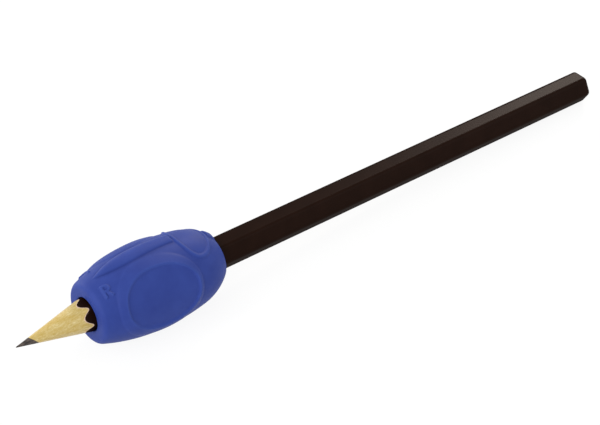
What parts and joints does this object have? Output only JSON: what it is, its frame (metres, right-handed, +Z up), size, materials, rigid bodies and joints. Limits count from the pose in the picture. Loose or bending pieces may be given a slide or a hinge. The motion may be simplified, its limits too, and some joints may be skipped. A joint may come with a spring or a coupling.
{
  "type": "pencil grip",
  "caption": "Soft moulded finger grip with dished finger pads and a top ridge, pushed onto a sharpened hexagonal wooden pencil that it can slide along.",
  "frame": {"origin": "middle of the footprint on the table, with the grip's belly and the tail's rim on the table", "axes": "+X along the pencil from the point to the tail, +Z up"},
  "size_m": [0.172, 0.0196, 0.0207],
  "materials": {
    "graphite": "dark grey with a dull sheen",
    "slat_wood": "freshly cut, fine straight grain",
    "wood_glue": "thin dry film",
    "undercoat": "matt, seen only at its cut edge",
    "dark_lacquer": "glossy, nearly black brown",
    "grip_rubber": "satin moulded rubber"
  },
  "bodies": {
    "pencil": {"graphite_lead": "graphite", "upper_slat": "slat_wood", "lower_slat": "slat_wood", "glue_line": "wood_glue", "primer_coat": "undercoat", "lacquer_coat": "dark_lacquer", "end_dip": "dark_lacquer"},
    "grip": {"grip_sleeve": "grip_rubber"}
  },
  "joints": [
    {"name": "grip_slide", "type": "slide", "parent": "pencil", "child": "grip", "axis": [0.9989, 0, -0.0463], "range_m": [-0.012, 0.1195]}
  ]
}
